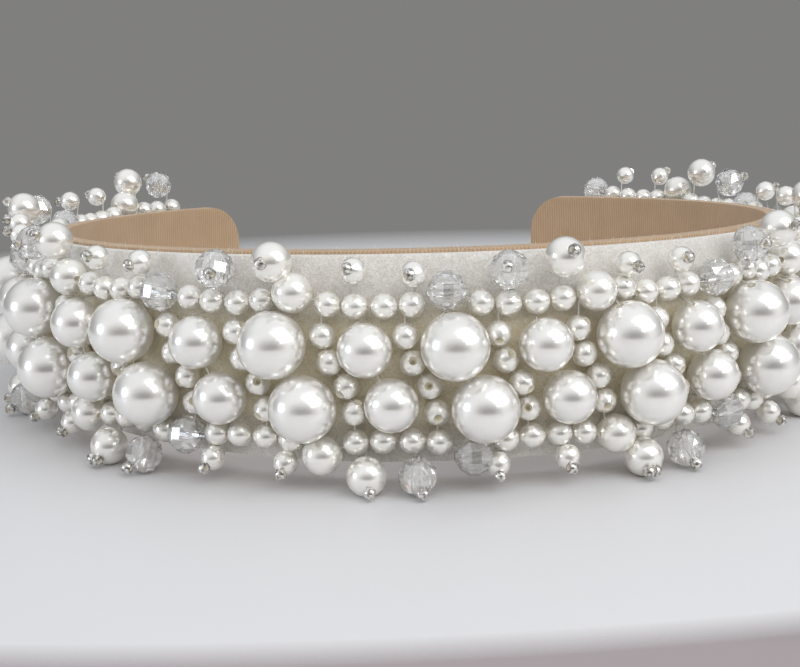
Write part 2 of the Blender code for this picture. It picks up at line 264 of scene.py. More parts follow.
def clear_height(arc, out, height, radius, side):
    """The height of a strung bead, pushed off the pearls of the rows where it meets them."""
    centre = place(arc, out, height)
    best = height
    for spot, other in MAIN_PEARLS:
        reach = other + radius + BEAD_GAP
        if abs(spot[0] - arc) > reach:
            continue
        pearl = place(*spot)
        room = reach ** 2 - (pearl.x - centre.x) ** 2 - (pearl.y - centre.y) ** 2
        if room > 0.0:
            pushed = spot[2] + side * math.sqrt(room)
            best = max(best, pushed) if side > 0 else min(best, pushed)
    return best


def accent_arc(side, index):
    """The arc of an accent bead in the upper (1) or the lower (-1) string."""
    return STRING_CENTRE - side * STRING_SHIFT + index * GROUP_PITCH


def group_indices(half):
    return range(-GROUP_COUNT, 1) if half == "left" else range(1, GROUP_COUNT + 1)


def string_beads(side, half):
    """The beads of one half of an arched string, as arc, out, height and kind."""
    made = []
    for index in group_indices(half):
        for along, rise in GROUP_BEADS:
            accent = along == 0.0
            kind = "small"
            if accent:
                kind = "pearl" if index % 2 else "crystal"
            radius = (ACCENT_BEAD if accent else SMALL_PEARL) / 2.0
            arc = accent_arc(side, index) + along * GROUP_PITCH
            if abs(arc) + radius > BEADED_REACH:
                continue
            height = PAIR_HEIGHT + side * (STRING_OFFSET + STRING_RISE * rise)
            out = felt_face(arc, height) + SEAT_GAP + radius
            height = clear_height(arc, out, height, radius, side)
            made.append((arc, out, height, kind))
    return made


def on_string(side, half, arc):
    """The middle of a string at an arc, or at the end that is nearest to it."""
    beads = string_beads(side, half)
    arcs = [bead[0] for bead in beads]
    arc = min(max(arc, arcs[0]), arcs[-1])
    out = float(np.interp(arc, arcs, [bead[1] for bead in beads]))
    height = float(np.interp(arc, arcs, [bead[2] for bead in beads]))
    return place(arc, out, height)


def slant_arcs(half):
    """The arcs of the slanting strings, each touching its neighbouring pairs."""
    split = accent_arc(1, 0) + GROUP_PITCH / 2.0
    first, last = columns()[0], columns()[-1]
    if half == "left":
        found = [first[0] - side_by_side(first[1], SMALL_PEARL)]
    else:
        found = [last[0] + side_by_side(last[1], SMALL_PEARL)]
    for before, after in zip(columns(), columns()[1:]):
        room = side_by_side(before[1], SMALL_PEARL) + side_by_side(SMALL_PEARL, after[1])
        share = side_by_side(before[1], SMALL_PEARL) / room
        arc = before[0] + share * (after[0] - before[0])
        if (arc < split) == (half == "left"):
            found.append(arc)
    return found


# Shader expressions
class Value:
    """A socket of a finish that takes part in sums like a number."""

    def __init__(self, finish, socket):
        self.finish = finish
        self.socket = socket

    def sum_of(self, operation, first, second=0.0):
        return self.finish.node("ShaderNodeMath", {"operation": operation}, {0: first, 1: second})

    def __add__(self, other):
        return self.sum_of("ADD", self, other)

    def __radd__(self, other):
        return self.sum_of("ADD", other, self)

    def __sub__(self, other):
        return self.sum_of("SUBTRACT", self, other)

    def __rsub__(self, other):
        return self.sum_of("SUBTRACT", other, self)

    def __mul__(self, other):
        return self.sum_of("MULTIPLY", self, other)

    def __rmul__(self, other):
        return self.sum_of("MULTIPLY", other, self)

    def sine(self):
        return self.sum_of("SINE", self)

    def absolute(self):
        return self.sum_of("ABSOLUTE", self)


class Finish:
    """Nodes that are added one by one round a shader, on a material or on the world."""

    def __init__(self, name, kind="ShaderNodeBsdfPrincipled"):
        world = kind == "ShaderNodeBackground"
        self.block = (bpy.data.worlds if world else bpy.data.materials).new(name)
        self.block.use_nodes = True
        self.tree = self.block.node_tree
        self.tree.nodes.clear()
        self.shader = self.tree.nodes.new(kind)
        output = self.tree.nodes.new("ShaderNodeOutputWorld" if world else "ShaderNodeOutputMaterial")
        self.tree.links.new(self.shader.outputs[0], output.inputs["Surface"])

    def join(self, socket, value):
        if isinstance(value, Value):
            self.tree.links.new(value.socket, socket)
        else:
            socket.default_value = value

    def node(self, kind, settings=None, sockets=None, output=0):
        """Adds a node: its settings first, then the values or links of its sockets."""
        made = self.tree.nodes.new(kind)
        for name, value in (settings or {}).items():
            setattr(made, name, value)
        for name, value in (sockets or {}).items():
            self.join(made.inputs[name], value)
        return Value(self, made.outputs[output])

    def mix(self, first, second, share):
        """A colour between two others."""
        return self.node("ShaderNodeMix", {"data_type": "RGBA"}, {0: share, 6: first, 7: second}, 2)

    def grain(self, where, scale, detail=2.0, distortion=0.0):
        return self.node(
            "ShaderNodeTexNoise",
            None,
            {"Vector": where, "Scale": scale, "Detail": detail, "Distortion": distortion},
        )

    def clamped(self, value, low, high):
        """A value spread from 0 at low to 1 at high, and held between them."""
        return self.node("ShaderNodeMapRange", {"clamp": True}, {0: value, 1: low, 2: high})

    def relief(self, height, strength, distance):
        sockets = {"Strength": strength, "Distance": distance, "Height": height}
        return self.node("ShaderNodeBump", None, sockets)

    def surface(self, sockets):
        for name, value in sockets.items():
            self.join(self.shader.inputs[name], value)
        return self.block


def colour(red, green, blue):
    return (red, green, blue, 1.0)


def pearl_finish(name, lustre, roughness, glow, deep, pale, lacquer):
    """Glass pearl: a lustrous nacre coat with faint clouds, under a gloss that fades at the rim."""
    finish = Finish(name)
    where = finish.node("ShaderNodeTexCoord", output="Object")
    clouds = finish.grain(where, 260.0, 3.0)
    flecks = finish.grain(where, 1500.0, 1.0)
    tint = finish.mix(deep, pale, finish.clamped(clouds, 0.35, 0.65))
    rim = finish.node("ShaderNodeLayerWeight", None, {"Blend": 0.3}, 1)
    return finish.surface({
        "Base Color": tint,
        "Roughness": roughness + 0.05 * clouds,
        "Metallic": lustre,
        "IOR": 1.6,
        "Coat Weight": 1.0 - 0.85 * rim,
        "Coat Roughness": 0.05,
        "Coat IOR": 1.6,
        "Coat Tint": lacquer,
        "Sheen Weight": glow,
        "Sheen Roughness": 0.3,
        "Sheen Tint": colour(1.0, 0.89, 0.66),
        "Normal": finish.relief(flecks, 0.05, 0.00005),
    })


def drill_finish():
    """The raw cream-coloured wall of a drilled hole, with a painted glow standing in for light that
    comes through the bead.
    """
    finish = Finish("drilled_hole_painted_glow")
    where = finish.node("ShaderNodeTexCoord", output="Object")
    grain = finish.grain(where, 2500.0)
    return finish.surface({
        "Base Color": finish.mix(colour(0.60, 0.56, 0.46), colour(0.86, 0.83, 0.74), grain),
        "Roughness": 0.55 + 0.2 * grain,
        # Painted light: a faint glow on the hole's wall, as if light came through the bead.
        "Emission Color": colour(0.80, 0.76, 0.64),
        "Emission Strength": 0.09,
        "Normal": finish.relief(grain, 0.3, 0.0001),
    })


def crystal_finish():
    """Clear cut glass."""
    finish = Finish("clear_crystal")
    where = finish.node("ShaderNodeTexCoord", output="Object")
    smears = finish.grain(where, 700.0)
    return finish.surface({
        "Base Color": finish.mix(colour(0.985, 0.975, 0.955), colour(1.0, 1.0, 0.99), smears),
        "Roughness": 0.01 + 0.02 * smears,
        "Metallic": 0.1,
        "IOR": 1.42,
        "Transmission Weight": 0.86,
        "Coat Weight": 1.0,
        "Coat Roughness": 0.02,
        "Coat IOR": 2.1,
    })


def seed_finish():
    """Clear seed beads with a silvered hole."""
    finish = Finish("silver_lined_seed")
    where = finish.node("ShaderNodeTexCoord", output="Object")
    streaks = finish.grain(where, 1800.0)
    silvered = finish.clamped(streaks, 0.4, 0.6)
    return finish.surface({
        "Base Color": finish.mix(colour(0.30, 0.28, 0.25), colour(0.90, 0.88, 0.84), silvered),
        "Roughness": 0.12 + 0.15 * streaks,
        "Metallic": 0.9,
        "Coat Weight": 1.0,
        "Coat Roughness": 0.03,
    })


def thread_finish():
    """Nearly clear nylon thread."""
    finish = Finish("nylon_thread")
    where = finish.node("ShaderNodeTexCoord", output="Object")
    twist = finish.grain(where, 3000.0)
    return finish.surface({
        "Base Color": finish.mix(colour(0.74, 0.72, 0.66), colour(0.92, 0.91, 0.88), twist),
        "Roughness": 0.3 + 0.15 * twist,
        "Transmission Weight": 0.35,
    })


# The felt's painted shaded middle ends, and its painted lit, paler edge begins, this far from its middle
# line in metres
FELT_SHADED_MIDDLE_END = 0.006
FELT_LIT_EDGE_START = 0.0115


def felt_finish():
    """Felt: matted fibres in lighter and darker clumps, with painted light by height: paler along its
    open edges, warmer and browner in the shaded middle.
    """
    finish = Finish("cream_felt_nap")
    where = finish.node("ShaderNodeTexCoord", output="Object")
    rise = finish.node("ShaderNodeSeparateXYZ", None, {0: where}, 2)
    clumps = finish.grain(where, 800.0, 4.0, 0.6)
    fibres = finish.grain(where, 3600.0, 3.0, 1.4)
    worn = finish.clamped(clumps * 0.28 + fibres * 0.72, 0.41, 0.59)
    # Painted light and shade by height: the open edges are painted paler, as if they catch the light,
    # and the middle among the pearls warmer and browner, the tone of their shade, with its brightness
    # raised to lift that shade.
    from_middle = (rise - PAIR_HEIGHT * METRE).absolute()
    edge = finish.clamped(from_middle, FELT_SHADED_MIDDLE_END, FELT_LIT_EDGE_START)
    # Each clump tone in its painted shaded middle colour and its painted lit edge colour.
    pale_clumps_by_light_zone = finish.mix(colour(0.99, 0.93, 0.76), colour(0.93, 0.90, 0.855), edge)
    dark_clumps_by_light_zone = finish.mix(colour(0.82, 0.71, 0.475), colour(0.72, 0.69, 0.63), edge)
    return finish.surface({
        "Base Color": finish.mix(dark_clumps_by_light_zone, pale_clumps_by_light_zone, worn),
        "Roughness": 0.92 + 0.06 * fibres,
        "Sheen Weight": 0.35,
        "Sheen Roughness": 0.5,
        "Sheen Tint": colour(1.0, 0.97, 0.92),
        "Normal": finish.relief(clumps * 0.5 + fibres, 0.8, 0.00025),
    })


RIB_PITCH = 0.62
THREAD_PITCH = 0.21


def ribbon_finish():
    """Ribbed ribbon: ribs across its width, and fine threads along them, with painted shade in the
    grooves between them.
    """
    finish = Finish("peach_grosgrain")
    where = finish.node("ShaderNodeUVMap", {"uv_map": "strip"})
    along = finish.node("ShaderNodeSeparateXYZ", None, {0: where})
    across = finish.node("ShaderNodeSeparateXYZ", None, {0: where}, 1)
    ribs = 0.5 + 0.5 * (along * (2.0 * math.pi / RIB_PITCH)).sine()
    threads = 0.5 + 0.5 * (across * (2.0 * math.pi / THREAD_PITCH)).sine()
    shade = finish.grain(where, 0.16, 3.0)
    weave = ribs * 0.75 + threads * ribs * 0.25
    # Painted shade: the grooves between the ribs and threads are painted darker than their crests; the
    # slow grain is a random tone.
    tint = finish.mix(colour(0.40, 0.265, 0.155), colour(0.67, 0.475, 0.30), weave * 0.55 + shade * 0.45)
    return finish.surface({
        "Base Color": tint,
        "Roughness": 0.58 - 0.18 * weave,
        "Sheen Weight": 0.3,
        "Sheen Roughness": 0.4,
        "Sheen Tint": colour(1.0, 0.88, 0.76),
        "Normal": finish.relief(weave, 0.7, 0.00015),
    })


FLOOR_CENTRE = (0.0, 0.045, 0.0)
FLOOR_RADIUS = 0.164
FLOOR_STRETCH = 1.5
FLOOR_FADE = 0.007
FLOOR_BACK_FADE = 0.045
FLOOR_SIDES = 96


def floor_finish():
    """Pale stone with faint grey clouds, an oval that fades out at its rim."""
    finish = Finish("pale_floor")
    where = finish.node("ShaderNodeTexCoord", output="Object")
    clouds = finish.grain(where, 14.0, 6.0, 0.8)
    veins = finish.clamped(clouds, 0.55, 0.75)
    squeeze = (1.0 / FLOOR_STRETCH, 1.0, 1.0)
    oval = finish.node("ShaderNodeVectorMath", {"operation": "MULTIPLY"}, {0: where, 1: squeeze})
    distance = finish.node(
        "ShaderNodeVectorMath",
        {"operation": "DISTANCE"},
        {0: oval, 1: FLOOR_CENTRE},
        1,
    )
    depth = finish.node("ShaderNodeSeparateXYZ", None, {0: where}, 1)
    fade = FLOOR_FADE + (FLOOR_BACK_FADE - FLOOR_FADE) * finish.clamped(depth, 0.0, FLOOR_RADIUS)
    return finish.surface({
        "Base Color": finish.mix(colour(0.74, 0.734, 0.738), colour(0.60, 0.595, 0.60), veins * 0.6),
        "Roughness": 0.42 + 0.15 * clouds,
        "Alpha": 1.0 - finish.clamped(distance, FLOOR_RADIUS - fade, FLOOR_RADIUS),
    })


# Modelling helpers
def add_piece(name, model, finishes, nodes=()):
    """Turns a finished model in millimetres into a piece that rides on the band."""
    bmesh.ops.scale(model, vec=(METRE, METRE, METRE), verts=model.verts)
    mesh = bpy.data.meshes.new(name)
    model.to_mesh(mesh)
    model.free()
    for finish in finishes:
        mesh.materials.append(finish)
    piece = bpy.data.objects.new(name, mesh)
    bpy.context.scene.collection.objects.link(piece)
    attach(piece, "root")
    if nodes:
        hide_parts(*nodes)
    return piece


def as_pattern(name, model):
    """Keeps a finished bead so that it can be set many times."""
    mesh = bpy.data.meshes.new(name)
    model.to_mesh(mesh)
    model.free()
    return mesh


def turned_bead(name, outline, sides, hole):
    """A drilled bead turned about +Z from its outline, the hole's wall in the second finish."""
    model = bmesh.new()
    verts = [model.verts.new((radius, 0.0, height)) for radius, height in outline]
    edges = [model.edges.new(pair) for pair in zip(verts, verts[1:] + verts[:1])]
    bmesh.ops.spin(
        model,
        geom=verts + edges,
        cent=(0.0, 0.0, 0.0),
        axis=UP,
        angle=2.0 * math.pi,
        steps=sides,
        use_merge=True,
    )
    bmesh.ops.remove_doubles(model, verts=model.verts, dist=MERGE_REACH)
    bmesh.ops.recalc_face_normals(model, faces=model.faces)
    for face in model.faces:
        face.smooth = True
        middle = face.calc_center_median()
        face.material_index = 1 if math.hypot(middle.x, middle.y) < hole / 2.0 else 0
    for edge in model.edges:
        edge.smooth = edge.calc_face_angle(0.0) < SHARP_FOLD
    return as_pattern(name, model)


def ball_outline(diameter, hole, bands):
    """The outline of a drilled ball, whose hole opens out from its waist towards both rims."""
    rim = math.asin(hole / diameter)
    turns = [rim + (math.pi - 2.0 * rim) * band / bands for band in range(bands + 1)]
    radius = diameter / 2.0
    ball = [(radius * math.sin(turn), -radius * math.cos(turn)) for turn in turns]
    return ball + [(hole * HOLE_WAIST, 0.0)]


def pearl_pattern(name):
    diameter, hole, sides, bands = DRILLED_PEARLS[name]
    return turned_bead(name, ball_outline(diameter, hole, bands), sides, hole)


def seed_pattern():
    """A short round-shouldered seed bead."""
    half = SEED_LENGTH / 2.0
    outer = SEED_BEAD / 2.0
    outline = [
        (SEED_HOLE / 2.0, -half),
        (outer * SEED_SHOULDER, -half),
        (outer, -half * SEED_FLAT),
        (outer, half * SEED_FLAT),
        (outer * SEED_SHOULDER, half),
        (SEED_HOLE / 2.0, half),
    ]
    return turned_bead("seed", outline, SEED_SIDES, SEED_HOLE)


# Rows of a cut bead's corners: height and radius as shares of its radius, and the turn in half facets
CUT_ROWS = (
    (-0.95, 0.24, 0.0),
    (-0.70, 0.70, 1.0),
    (-0.24, 0.97, 0.0),
    (0.24, 0.97, 0.0),
    (0.70, 0.70, 1.0),
    (0.95, 0.24, 0.0),
)
CUT_SIDES = 10
LEVEL = 0.99


def crystal_pattern():
    """A round cut bead: rows of flat facets, with a hole through it."""
    model = bmesh.new()
    radius = ACCENT_BEAD / 2.0
    for height, share, turn in CUT_ROWS:
        lift = Matrix.Translation((0.0, 0.0, height * radius))
        lay = lift @ Matrix.Rotation(math.pi / CUT_SIDES * turn, 4, "Z")
        bmesh.ops.create_circle(model, segments=CUT_SIDES, radius=share * radius, matrix=lay)
    bmesh.ops.convex_hull(model, input=model.verts)
    bmesh.ops.recalc_face_normals(model, faces=model.faces)
    ends = [face for face in model.faces if abs(face.normal.z) > LEVEL]
    bmesh.ops.delete(model, geom=ends, context="FACES")
    bmesh.ops.bridge_loops(model, edges=[edge for edge in model.edges if edge.is_boundary])
    bmesh.ops.recalc_face_normals(model, faces=model.faces)
    return as_pattern("crystal", model)


def set_bead(model, pattern, centre, axis, turn=0.0):
    """Adds a copy of a bead with its hole along an axis."""
    before = len(model.verts)
    model.from_mesh(pattern)
    model.verts.ensure_lookup_table()
    lay = UP.rotation_difference(axis).to_matrix().to_4x4()
    matrix = Matrix.Translation(centre) @ lay @ Matrix.Rotation(turn, 4, "Z")
    bmesh.ops.transform(model, matrix=matrix, verts=model.verts[before:])


def tubes(routes, radius, roundness):
    """Round tubes with closed ends, each along its own route of points."""
    curve = bpy.data.curves.new("tubes", "CURVE")
    curve.dimensions = "3D"
    curve.bevel_depth = radius
    curve.bevel_resolution = roundness
    curve.use_fill_caps = True
    for route in routes:
        spline = curve.splines.new("POLY")
        spline.points.add(len(route) - 1)
        for point, spot in zip(spline.points, route):
            point.co = (*spot, 1.0)
    carrier = bpy.data.objects.new("tubes", curve)
    bpy.context.scene.collection.objects.link(carrier)
    depsgraph = bpy.context.evaluated_depsgraph_get()
    mesh = bpy.data.meshes.new_from_object(carrier.evaluated_get(depsgraph))
    bpy.data.objects.remove(carrier)
    model = bmesh.new()
    model.from_mesh(mesh)
    for face in model.faces:
        face.smooth = True
    return model


# The band and the felt
def strip_stations(reach, rounding):
    """Arcs of a strip's cross-sections, closer together round its ends."""
    turns = [math.pi / 2.0 * step / END_STATIONS for step in range(END_STATIONS)]
    end = [reach - rounding * (1.0 - math.cos(turn)) for turn in turns]
    count = int(2.0 * (reach - rounding) / STRIP_PITCH)
    inner = list(np.linspace(-(reach - rounding), reach - rounding, count))
    return [-arc for arc in end] + inner + list(reversed(end))


def end_inset(arc, reach, rounding):
    """How much a rounded end has narrowed from each edge at an arc."""
    into = abs(arc) - (reach - rounding)
    if into <= 0.0:
        return 0.0
    return rounding - math.sqrt(max(rounding ** 2 - into ** 2, 0.0))


def flat_strip(reach, rounding, margin, face, thickness, chamfer):
    """A crowned strip with rounded ends, modelled flat: arc, out and height."""
    arcs = strip_stations(reach, rounding)
    model = bmesh.new()
    bmesh.ops.create_grid(model, x_segments=len(arcs) - 1, y_segments=STRIP_ROWS, size=1.0)
    for vert in model.verts:
        arc = arcs[round((vert.co.x + 1.0) / 2.0 * (len(arcs) - 1))]
        inset = end_inset(arc, reach, rounding) + margin
        room = band_width(arc) - 2.0 * inset
        height = EDGE_HEIGHT + inset + (vert.co.y + 1.0) / 2.0 * room
        vert.co = (arc, face + felt_face(arc, height), height)
    walls = bmesh.ops.extrude_face_region(model, geom=model.faces[:], use_keep_orig=True)
    back = [item for item in walls["geom"] if isinstance(item, bmesh.types.BMVert)]
    bmesh.ops.translate(model, vec=(0.0, -thickness, 0.0), verts=back)
    bmesh.ops.recalc_face_normals(model, faces=model.faces)
    rims = [edge for edge in model.edges if edge.calc_face_angle(0.0) > RIM_FOLD]
    bmesh.ops.bevel(
        model,
        geom=rims,
        offset=chamfer,
        offset_type="OFFSET",
        segments=2,
        profile=0.5,
        affect="EDGES",
        material=-1,
        clamp_overlap=True,
    )
    for face_now in model.faces:
        face_now.smooth = True
    return model


def wrap(model):
    """Keeps the flat lay of a strip as its UV map, then bends it round the outline."""
    layer = model.loops.layers.uv.new("strip")
    for face in model.faces:
        for loop in face.loops:
            loop[layer].uv = (loop.vert.co.x, loop.vert.co.z)
    for vert in model.verts:
        vert.co = place(*vert.co)


def build_ribbon_band():
    face = -FELT_THICKNESS - FELT_BACK_GAP
    model = flat_strip(BAND_REACH, TIP_ROUNDING, 0.0, face, RIBBON_BAND_THICKNESS, BAND_CHAMFER)
    wrap(model)
    add_piece("ribbon_wrapped_band", model, [ribbon_finish()], ["ribbon_band"])


def build_felt_strip(finish):
    reach = BAND_REACH - FELT_END_MARGIN
    model = flat_strip(reach, FELT_ROUNDING, FELT_MARGIN, 0.0, FELT_THICKNESS, FELT_CHAMFER)
    for vert in model.verts:
        spot = Vector((vert.co.x, vert.co.z, NAP_LAYER)) * NAP_GRAIN
        if vert.co.y > felt_face(vert.co.x, vert.co.z) - FELT_THICKNESS / 2.0:
            vert.co.y += NAP_RISE * noise.noise(spot)
    wrap(model)
    add_piece("felt_strip", model, [finish], ["felt_facing"])


# Loose fibres: their number, the share along the upper edge, and the ranges they vary in
FIBRE_COUNT = 260
UPPER_FIBRES = 0.7
FIBRE_RADIUS = 0.022
FIBRE_LENGTH = (0.5, 1.5)
FIBRE_LEAN = 0.8
FIBRE_CURL = 0.5
FIBRE_LIFT = 0.3
FIBRE_DROP = 0.7
FIBRE_STEPS = 4
FIBRE_INSET = 0.1
FIBRE_BACK = 0.3


def build_felt_fibres(finish):
    """Loose fibres that stand off the felt's edges."""
    routes = []
    reach = BAND_REACH - FELT_END_MARGIN - FELT_ROUNDING
    for _ in range(FIBRE_COUNT):
        arc = chance.uniform(-reach, reach)
        upper = chance.random() < UPPER_FIBRES
        margin = FELT_MARGIN + FIBRE_INSET
        height = EDGE_HEIGHT + (band_width(arc) - margin if upper else margin)
        out = felt_face(arc, height) - chance.uniform(FIBRE_INSET, FELT_THICKNESS - FIBRE_BACK)
        length = chance.uniform(*FIBRE_LENGTH)
        lean = chance.uniform(-FIBRE_LEAN, FIBRE_LEAN)
        curl = chance.uniform(-FIBRE_CURL, FIBRE_CURL)
        route = []
        for step in range(FIBRE_STEPS + 1):
            share = step / FIBRE_STEPS
            rise = length * share * (1.0 if upper else -FIBRE_DROP)
            drift = length * (lean * share + curl * share ** 2)
            lift = length * FIBRE_LIFT * curl * share
            route.append(place(arc + drift, out + lift, height + rise))
        routes.append(route)
    model = tubes(routes, FIBRE_RADIUS, 0)
    add_piece("loose_felt_fibres", model, [finish])


# The beads, and the piece that each kind of small bead goes to
NET_PIECES = {
    "small": "small_pearls",
    "pearl": "accent_pearls",
    "crystal": "cut_crystals",
    "seed": "seed_beads",
}


def build_main_pearls(pearl, drill):
    """The two rows: a piece for each large pearl and for each medium pair."""
    finishes = [pearl, drill]
    large = pearl_pattern("large")
    medium = pearl_pattern("medium")
    numbers = {LARGE_PEARL: 0, MEDIUM_PEARL: 0}
    for column in columns():
        size = column[1]
        numbers[size] += 1
        number = numbers[size]
        upper, lower = (place(*spot) for spot in pair_places(*column))
        axis = (upper - lower).normalized()
        if size == LARGE_PEARL:
            for row, centre in (("upper", upper), ("lower", lower)):
                model = bmesh.new()
                set_bead(model, large, centre, axis)
                name = f"large_pearl_{row}_{number:02d}"
                add_piece(f"{name}_nacre", model, finishes, [name])
        else:
            model = bmesh.new()
            for centre in (upper, lower):
                set_bead(model, medium, centre, axis)
            name = f"medium_pearl_pair_{number:02d}"
            add_piece(f"{name}_nacre", model, finishes, [name])


class Net:
    """The small beads of one half, kind by kind, and the thread that holds them."""

    def __init__(self, patterns):
        self.patterns = patterns
        self.models = {kind: bmesh.new() for kind in NET_PIECES}
        self.routes = []

    def add(self, kind, centre, axis, pattern=None):
        turn = chance.uniform(0.0, 6.0)
        set_bead(self.models[kind], self.patterns[pattern or kind], centre, axis, turn)


def half_length(kind):
    return SMALL_PEARL / 2.0 if kind == "small" else ACCENT_BEAD / 2.0


def lay_string(net, side, half):
    """An arched string, its beads threaded along it."""
    beads = string_beads(side, half)
    centres = [place(*bead[:3]) for bead in beads]
    for index, (centre, bead) in enumerate(zip(centres, beads)):
        before = centres[max(index - 1, 0)]
        after = centres[min(index + 1, len(centres) - 1)]
        axis = (after - before).normalized()
        if bead[3] == "small":
            sway = Vector([chance.uniform(-STRING_SWAY, STRING_SWAY) for _ in range(3)])
            axis = (axis + sway).normalized()
        net.add(bead[3], centre, axis)
    net.routes.append(centres)


def lay_slants(net, half):
    """Slanting strings, whose pearls turn so that many show their holes."""
    for arc in slant_arcs(half):
        spots = []
        for along, rise in SLANT_BEADS:
            spot = arc + along * SMALL_PITCH
            height = PAIR_HEIGHT + rise * SMALL_PITCH
            spots.append((spot, felt_face(spot, height) + SEAT_GAP + SMALL_PEARL / 2.0, height))
        for spot in spots:
            twist = chance.choice(HOLE_TURNS) * chance.uniform(*HOLE_PLAY)
            axis = UP * chance.choice((-1.0, 1.0)) + outward(spot[0]) * twist
            axis += outward(spot[0]).cross(UP) * chance.uniform(-HOLE_SWING, HOLE_SWING)
            net.add("small", place(*spot), axis.normalized(), "wide_holed")
        above = on_string(1, half, arc + SLANT_BEADS[0][0] * SMALL_PITCH)
        below = on_string(-1, half, arc + SLANT_BEADS[-1][0] * SMALL_PITCH)
        net.routes.append([above] + [place(*spot) for spot in spots] + [below])


def stalk_arc(side, index, share):
    """The arc of a stalk, drawn a little towards the crown but clear of its accent bead."""
    accent = accent_arc(side, index)
    arc = accent + share * GROUP_PITCH
    arc -= STALK_PULL * min(max(arc / PULL_REACH, -1.0), 1.0)
    return max(arc, accent + STALK_CLEARANCE)


def stalk_spots(label, half):
    """The beads on stalks, as arc, out, height and kind. The lower ones rest on the ground."""
    side = 1 if label == "upper" else -1
    arcs = [bead[0] for bead in string_beads(side, half)]
    first = arcs[0] - GROUP_PITCH * STRING_OVERHANG
    last = arcs[-1] + GROUP_PITCH * STRING_OVERHANG
    found = []
    for index in range(-GROUP_COUNT, GROUP_COUNT + 1):
        if index % 2:
            continue
        for share, kind in STALKS[label]:
            arc = stalk_arc(side, index, share)
            if not first <= arc <= last:
                continue
            if kind == "small":
                play = chance.uniform(-SMALL_STALK_PLAY, SMALL_STALK_PLAY)
                found.append((arc + play, SMALL_STALK_OUT, SMALL_STALK_HEIGHT[label] + play, kind))
            else:
                radius = ACCENT_BEAD / 2.0
                height = PAIR_HEIGHT + STRING_OFFSET + UPPER_STALK_RISE[kind] if side > 0 else radius
                found.append((arc, radius + STALK_STANDOFF[label], height, kind))
    return found


def lay_stalks(net, label, half):
    """Beads that stand out from a string, each stopped by one or two seed beads."""
    side = 1 if label == "upper" else -1
    for arc, out, height, kind in stalk_spots(label, half):
        centre = place(arc, out, height)
        tangent = outward(arc).cross(UP)
        dip = chance.uniform(*STALK_DIP[label])
        swing = chance.uniform(-STALK_SWING, STALK_SWING)
        axis = (outward(arc) - UP * dip + tangent * swing).normalized()
        cut = axis
        if kind == "crystal":
            cut = (UP + outward(arc) * chance.uniform(*CUT_TILT)).normalized()
        net.add(kind, centre, cut)
        radius = half_length(kind)
        seeds = 2 if kind == "pearl" and chance.random() < TWO_SEEDS else 1
        stop = centre + axis * (radius + SEED_STANDOFF)
        for number in range(seeds):
            shift = tangent * ((number - (seeds - 1) / 2.0) * SEED_LENGTH)
            lay = tangent + axis * chance.uniform(-SEED_SWING, SEED_SWING)
            lay += UP * chance.uniform(-SEED_TILT, SEED_TILT)
            seed = stop + shift
            seed.z = max(seed.z, SEED_BEAD / 2.0 + 0.1)
            net.add("seed", seed, lay.normalized())
        start = on_string(side, half, arc)
        net.routes.append([
            start,
            centre - axis * radius * BORE_START,
            centre + axis * radius * BORE_END,
            stop,
        ])


def build_net(half, patterns, finishes):
    """One half's small pearls, accent pearls, crystals, seeds and thread."""
    net = Net(patterns)
    lay_string(net, 1, half)
    lay_string(net, -1, half)
    lay_slants(net, half)
    lay_stalks(net, "upper", half)
    lay_stalks(net, "lower", half)
    node = [f"small_bead_net_{half}"]
    for kind, model in net.models.items():
        add_piece(f"{NET_PIECES[kind]}_{half}", model, finishes[kind], node)
    thread = tubes(net.routes, THREAD / 2.0, 1)
    add_piece(f"beading_thread_{half}", thread, finishes["thread"], node)


def build_pair_threads(finish):
    """The thread that sews each leaning pair down, through both pearls and into the felt."""
    routes = []
    for column in columns():
        upper, lower = pair_places(*column)
        top, bottom = place(*upper), place(*lower)
        axis = (top - bottom).normalized()
        reach = column[1] / 2.0
        highest = EDGE_HEIGHT + band_width(upper[0]) - SEWN_MARGIN
        over = place(upper[0], SEWN_OUT, min(upper[2] + reach, highest))
        under = place(lower[0], SEWN_OUT, max(lower[2] - reach, EDGE_HEIGHT + SEWN_MARGIN))
        routes.append([
            over,
            top + axis * reach,
            top - axis * reach,
            bottom + axis * reach,
            bottom - axis * reach,
            under,
        ])
    add_piece("pair_threads", tubes(routes, THREAD / 2.0, 1), [finish])


# The stage, the light and the camera
def build_floor():
    model = bmesh.new()
    bmesh.ops.create_circle(
        model,
        cap_ends=True,
        segments=FLOOR_SIDES,
        radius=FLOOR_RADIUS,
        matrix=Matrix.Translation(FLOOR_CENTRE) @ Matrix.Scale(FLOOR_STRETCH, 4, (1.0, 0.0, 0.0)),
    )
    mesh = bpy.data.meshes.new("floor")
    model.to_mesh(mesh)
    model.free()
    mesh.materials.append(floor_finish())
    floor = bpy.data.objects.new("floor", mesh)
    bpy.context.scene.collection.objects.link(floor)


def add_soft_light(name, centre, width, height, power, tint, mirrored=True):
    """A rectangular lamp aimed at the band, which glossy surfaces mirror or not."""
    data = bpy.data.lights.new(name, "AREA")
    data.shape = "RECTANGLE"
    data.size = width
    data.size_y = height
    data.energy = power
    data.color = tint
    lamp = bpy.data.objects.new(name, data)
    lamp.location = centre
    lamp.visible_glossy = mirrored
    lamp.rotation_mode = "QUATERNION"
    lamp.rotation_quaternion = (Vector(LIGHT_AIM) - Vector(centre)).to_track_quat("-Z", "Y")
    bpy.context.scene.collection.objects.link(lamp)


LIGHT_AIM = (0.0, -0.03, 0.02)
WINDOW_SLATS = 4
SLAT_STEP = (-0.08, 0.0, 0.14)
SLAT_MIDDLE = (0.34, -0.36, 0.46)

ROOM = {
    "dark_spot": colour(0.05, 0.040, 0.034),
    "front": colour(0.76, 0.755, 0.76),
    "front_ground": colour(0.74, 0.735, 0.745),
    "back_ground": colour(0.40, 0.36, 0.375),
    "back": colour(0.215, 0.213, 0.21),
    "sky": colour(0.80, 0.82, 0.85),
}


